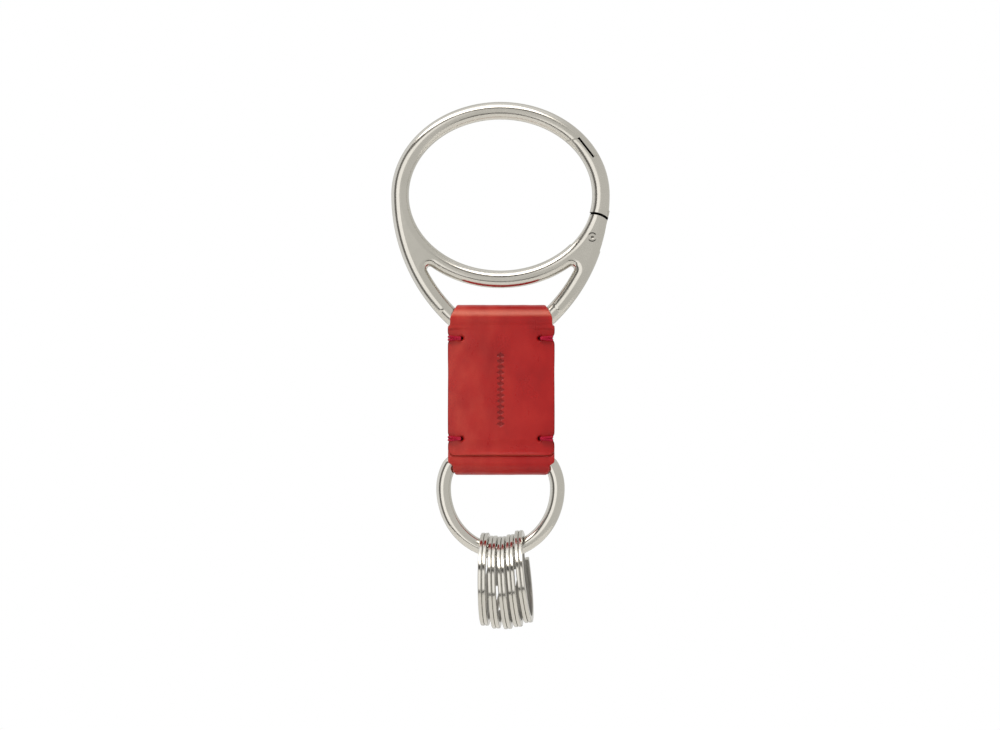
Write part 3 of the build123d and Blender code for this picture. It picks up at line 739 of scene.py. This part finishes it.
def hollow(x, z):
    """Depth of the thread holes and of the soft hollows round them, and the painted shade in the holes."""
    depth, shade = 0.0, 0.0
    for row in TACK_ROWS:
        away = math.hypot(abs(x) - HOLE_X + HOLE_SHIFT, z - row)
        hole = math.exp(-((away / HOLE_SIZE) ** 2))
        depth += HOLE_DEPTH * hole
        shade += smoothstep(*HOLE_SHADE, hole)
        beyond = max(HOLE_X - abs(x), 0.0)
        pulled = math.hypot(beyond, z - row)
        depth += PULL_DEPTH * math.exp(-((pulled / PULL_SIZE) ** 2))
    return depth, shade


def edge_arc():
    """The angles of the mesh steps round a quarter of a cut edge's rounding."""
    return [math.pi / 2 * k / ROUND_STEPS for k in range(1, ROUND_STEPS + 1)]


def strip_edge():
    """The right edge of a section, from the grain side round to the flesh side."""
    core = HALF_LEATHER - EDGE_ROUND
    upper = [(1.0, EDGE_ROUND * math.sin(a), core + EDGE_ROUND * math.cos(a)) for a in edge_arc()]
    lower = [(share, dx, -n) for share, dx, n in reversed(upper)]
    return upper + [(1.0, EDGE_ROUND, 0.0)] + lower


def strip_section(shares):
    """A section's points, round from the grain side: (share of the half width, shift across, height)."""
    right = strip_edge()
    section = [(share, 0.0, HALF_LEATHER) for share in shares] + right
    section += [(share, 0.0, -HALF_LEATHER) for share in reversed(shares)]
    return section + [(-share, -dx, -n) for share, dx, n in right]


def strip_rows(count):
    """The strip's sections, rounded at both ends: (station, shift along it, inset of both faces)."""
    ends = [(EDGE_ROUND * (1 - math.sin(a)), EDGE_ROUND * (1 - math.cos(a))) for a in edge_arc()]
    rows = [(0, shift, inset) for shift, inset in reversed(ends)]
    rows += [(index, 0.0, 0.0) for index in range(2, count - 2)]
    return rows + [(count - 1, -shift, inset) for shift, inset in ends]


def strip_point(station, along, inset, share, dx, n):
    """A point of the strip that is so far along it, and how dark it is: darker in the tooled lozenges, with
    painted shade in the thread holes.
    """
    y, z, heading = station
    out = (-math.sin(heading), math.cos(heading))
    thickness = LEATHER - SKIVE_DEPTH * (1 - smoothstep(0, SKIVE_LENGTH, along))
    height = math.copysign(max(abs(n) - inset, 0.0), n)
    height = (height + HALF_LEATHER) * thickness / LEATHER - HALF_LEATHER
    y += height * out[0]
    z += height * out[1]
    spread_side = SIDE_SPREAD[share > 0] * abs(share) ** 3
    x = share * (half_width(y, z, along) - EDGE_ROUND + spread_side) + dx
    shade = 0.0
    if n > HALF_LEATHER - EDGE_ROUND:
        push, shade = hollow(x, z)
        if along < FRONT_LENGTH:
            tool_push, tool_shade = tooling(x, z)
            push += tool_push + CROWN * share**4
            shade += tool_shade
        y -= push * out[0]
        z -= push * out[1]
    if n > 0:
        dent = noise.noise(Vector((x, y, z)) / DENT_SIZE) * DENT
        y += dent * out[0]
        z += dent * out[1]
    warp = noise.noise(Vector((x, 0, z)) / WARP_SIZE) * WARP
    return (x, y + warp, z), min(shade, 1.0)


def is_cut(dx, n, inset):
    """Whether a point lies on a cut side edge, or on the rounding of the strip's ends."""
    on_side = abs(n) <= HALF_LEATHER - EDGE_ROUND + TINY or abs(dx) > EDGE_ROUND * CUT_SHARE
    return on_side or inset > EDGE_ROUND / 2


def strip_faces(row_count, around, across):
    """Quads between the sections, then each end: quads from face to face, and a fan at each edge."""
    faces = []
    for row in range(row_count - 1):
        for k in range(around):
            a = row * around + k
            b = row * around + (k + 1) % around
            faces.append((a, b, b + around, a + around))
    side = around // 2 - across
    for start, flip in ((0, False), ((row_count - 1) * around, True)):
        end = []
        for k in range(across - 1):
            below = start + 2 * across + side - 1 - k
            end.append((start + k, start + k + 1, below - 1, below))
        end.append(tuple(start + k for k in range(across - 1, across + side + 1)))
        end.append(tuple(start + k % around for k in range(2 * across + side - 1, around + 1)))
        faces += [face if flip else face[::-1] for face in end]
    return faces


def leather_strap():
    """The strap as one strip, swept along its side view."""
    stations = strip_stations()
    lengths = distances(stations)
    shares = columns()
    section = strip_section(shares)
    rows = strip_rows(len(stations))
    points, cut_edge, pressed = [], [], []
    for index, shift, inset in rows:
        y, z, heading = stations[index]
        station = (y + shift * math.cos(heading), z + shift * math.sin(heading), heading)
        for share, dx, n in section:
            point, shade = strip_point(station, lengths[index] + shift, inset, share, dx, n)
            points.append(point)
            pressed.append(shade)
            cut_edge.append(float(is_cut(dx, n, inset)))
    faces = strip_faces(len(rows), len(section), len(shares))
    # the tooling's darkening and the painted shade in the thread holes, one value per point
    attributes = {"cut_edge": cut_edge, "pressed": pressed}
    piece = make_piece("leather_strap_look", points, faces, leather_material(), attributes)
    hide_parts("leather_strap")
    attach(piece, "strap")


# ===================================================================================== the tacks
def loop_point(corners, runs, radius, along):
    """The place and way of a point that far along a loop of rounded corners and straight runs."""
    quarter = math.pi / 2 * radius
    for side, ((x, y), run) in enumerate(zip(corners, runs)):
        turned = min(along, quarter)
        angle = side * math.pi / 2 + turned / radius
        way = Vector((-math.sin(angle), math.cos(angle), 0))
        start = Vector((x + radius * math.cos(angle), y + radius * math.sin(angle), 0))
        if along <= quarter + run:
            break
        along -= quarter + run
    return start + way * (along - turned), way


def rounded_loop(low, high, radius, count):
    """Evenly spaced points round a rounded rectangle in x and y, each with its way and its distance."""
    width = high[0] - low[0] - 2 * radius
    depth = high[1] - low[1] - 2 * radius
    left, right = low[0] + radius, high[0] - radius
    front, back = low[1] + radius, high[1] - radius
    corners = [(right, back), (left, back), (left, front), (right, front)]
    runs = [width, depth, width, depth]
    total = sum(runs) + 2 * math.pi * radius
    spots = [total * k / count for k in range(count)]
    return [(*loop_point(corners, runs, radius, distance), distance) for distance in spots], total


def strand_spacing(x, low, high):
    """Half the distance between the strands, which spread from the hole to the strap's edge."""
    to_edge = (x - low.x) / (high.x - low.x)
    if high.x < 0:
        to_edge = 1 - to_edge
    return STRAND_AT_HOLE + (STRAND_AT_EDGE - STRAND_AT_HOLE) * smoothstep(0, 1, to_edge)


def ply_ring(centre, out, twist):
    """The points round one ply, which winds about the strand's middle."""
    middle = centre + PLY_OFFSET * (math.cos(twist) * out + math.sin(twist) * UP)
    angles = [2 * math.pi * side / PLY_SIDES for side in range(PLY_SIDES)]
    return [middle + PLY_RADIUS * (math.cos(a) * out + math.sin(a) * UP) for a in angles]


def ply_faces(first):
    """The quads of one closed ply whose points start at first."""
    faces = []
    for k in range(THREAD_POINTS):
        after = ((k + 1) % THREAD_POINTS - k) * PLY_SIDES
        for side in range(PLY_SIDES):
            a = first + k * PLY_SIDES + side
            b = first + k * PLY_SIDES + (side + 1) % PLY_SIDES
            faces.append((a, b, b + after, a + after))
    return faces


def tack(name, material):
    """Two strands of two-ply twisted thread from the hole round the strap's edge."""
    low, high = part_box(name)
    middle_z = (low.z + high.z) / 2
    inner = Vector((THREAD_RADIUS, THREAD_RADIUS, 0))
    loop, total = rounded_loop(low + inner, high - inner, LOOP_CORNER, THREAD_POINTS)
    turns = round(total / PLY_PITCH)
    points, faces = [], []
    for strand in (-1, 1):
        for ply in (0, 1):
            faces += ply_faces(len(points))
            for spot, way, distance in loop:
                z = middle_z + strand * strand_spacing(spot.x, low, high)
                twist = 2 * math.pi * (turns * distance / total + ply / 2)
                points += ply_ring(Vector((spot.x, spot.y, z)), Vector((way.y, -way.x, 0)), twist)
    piece = make_piece(name + "_look", points, faces, material)
    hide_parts(name)
    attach(piece, "strap")


# ===================================================================================== the metal
def finish_node(name, material):
    """Gives a carried-over node its material."""
    node = frame["nodes"][name]
    node.data.materials.clear()
    node.data.materials.append(material)


def make_metal():
    # painted shade in the gate's seams
    satin = nickel("satin_nickel_look", **SATIN, painted_shade=seam_painted_shade)
    finish_node("carabiner_frame", satin)
    finish_node("gate", satin)
    # painted shade in the pin's groove and dimple
    finish_node("gate_pin", nickel("pin_steel_look", **PIN_STEEL, painted_shade=pin_painted_shade))
    finish_node("gate_spring", nickel("spring_steel_look", **SPRING_STEEL))
    finish_node("d_ring", nickel("polished_nickel_look", **POLISHED))
    for name in frame["nodes"]:
        if name.startswith("split_ring"):
            # painted shade on the split rings' inner faces
            finish_node(name, nickel(name + "_look", **SPLIT_NICKEL, painted_shade=ring_inside_painted_shade(name)))


def make_all():
    make_camera()
    make_studio()
    make_floor()
    make_metal()
    leather_strap()
    thread = thread_material()
    for name in frame["nodes"]:
        if name.startswith("tack"):
            tack(name, thread)


make_all()
